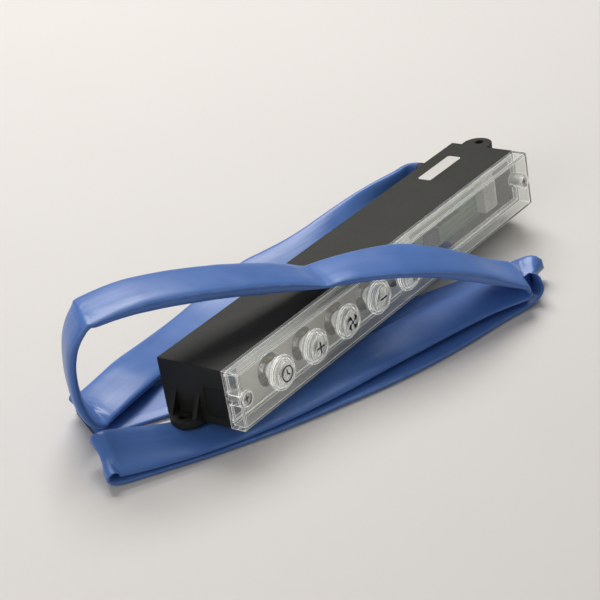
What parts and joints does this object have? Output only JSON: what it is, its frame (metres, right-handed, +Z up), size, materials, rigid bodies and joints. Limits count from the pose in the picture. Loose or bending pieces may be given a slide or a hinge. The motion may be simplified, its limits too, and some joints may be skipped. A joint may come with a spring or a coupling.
{
  "type": "cooker hood control unit",
  "caption": "Long black cooker-hood control unit with a clear front cover, round push buttons with function symbols, end lugs, and a flat blue harness sleeve folded round it.",
  "frame": {"origin": "Centre of the control unit's bounding box, leaned as it lies in the picture, without the free sleeve.", "axes": "+X along the housing from the near end to the far end, +Y towards the back wall where the sleeve comes out, +Z up from the table. The unit leans back by 11 degrees about X."},
  "size_m": [0.3166, 0.1418, 0.0645],
  "materials": {
    "housing_plastic": "fine grained black moulding",
    "clear_plastic": "clear moulded polycarbonate",
    "frosted_plastic": "frosted white diffuser",
    "board_laminate": "green solder mask",
    "component_black": "moulded epoxy",
    "lamp_lens": "tinted lens",
    "screw_steel": "zinc plated",
    "white_plastic": "white nylon",
    "winding_tape": "taped winding on a laminated core",
    "relay_case": "moulded relay case",
    "can_foil": "sleeved can",
    "film_case": "dipped case",
    "fuse_glass": "glass tube with metal caps",
    "wire_jacket": "PVC insulation",
    "label_face": "bare white label",
    "stem_plastic": "moulded plunger",
    "sleeve_blue": "soft satin PVC lay-flat sleeve"
  },
  "bodies": {
    "unit": {"housing": "housing_plastic", "front_cover": "clear_plastic", "light_plate": "frosted_plastic", "control_board": "board_laminate", "tact_switches": "component_black", "indicator_leds": "lamp_lens", "cover_screws": "screw_steel", "board_screws": "screw_steel", "controller_chip": "component_black", "service_header": "white_plastic", "resistors": "component_black", "transformer": "winding_tape", "relays": "relay_case", "electrolytic_capacitor": "can_foil", "film_capacitor": "film_case", "fuse": "fuse_glass", "harness_socket": "white_plastic", "harness_plug": "white_plastic", "harness_wires": "wire_jacket", "sleeve_outlet": "housing_plastic", "top_label": "label_face", "sleeve_back_run": "sleeve_blue", "sleeve_arch": "sleeve_blue", "sleeve_upper_run": "sleeve_blue", "sleeve_lower_run": "sleeve_blue", "sleeve_under_run": "sleeve_blue"},
    "timer_button": {"button_timer": "clear_plastic", "switch_stem_timer": "stem_plastic"},
    "plus_button": {"button_plus": "clear_plastic", "switch_stem_plus": "stem_plastic"},
    "fan_button": {"button_fan": "clear_plastic", "switch_stem_fan": "stem_plastic"},
    "minus_button": {"button_minus": "clear_plastic", "switch_stem_minus": "stem_plastic"},
    "lamp_button": {"button_lamp": "clear_plastic", "switch_stem_lamp": "stem_plastic"}
  },
  "joints": [
    {"name": "press_timer", "type": "slide", "parent": "unit", "child": "timer_button", "axis": [0, 0.9816, -0.1908], "range_m": [0, 0.0008], "stiffness_N_per_m": 1200, "springref_m": -0.0002},
    {"name": "press_plus", "type": "slide", "parent": "unit", "child": "plus_button", "axis": [0, 0.9816, -0.1908], "range_m": [0, 0.0008], "stiffness_N_per_m": 1200, "springref_m": -0.0002},
    {"name": "press_fan", "type": "slide", "parent": "unit", "child": "fan_button", "axis": [0, 0.9816, -0.1908], "range_m": [0, 0.0008], "stiffness_N_per_m": 1200, "springref_m": -0.0002},
    {"name": "press_minus", "type": "slide", "parent": "unit", "child": "minus_button", "axis": [0, 0.9816, -0.1908], "range_m": [0, 0.0008], "stiffness_N_per_m": 1200, "springref_m": -0.0002},
    {"name": "press_lamp", "type": "slide", "parent": "unit", "child": "lamp_button", "axis": [0, 0.9816, -0.1908], "range_m": [0, 0.0008], "stiffness_N_per_m": 1200, "springref_m": -0.0002}
  ]
}
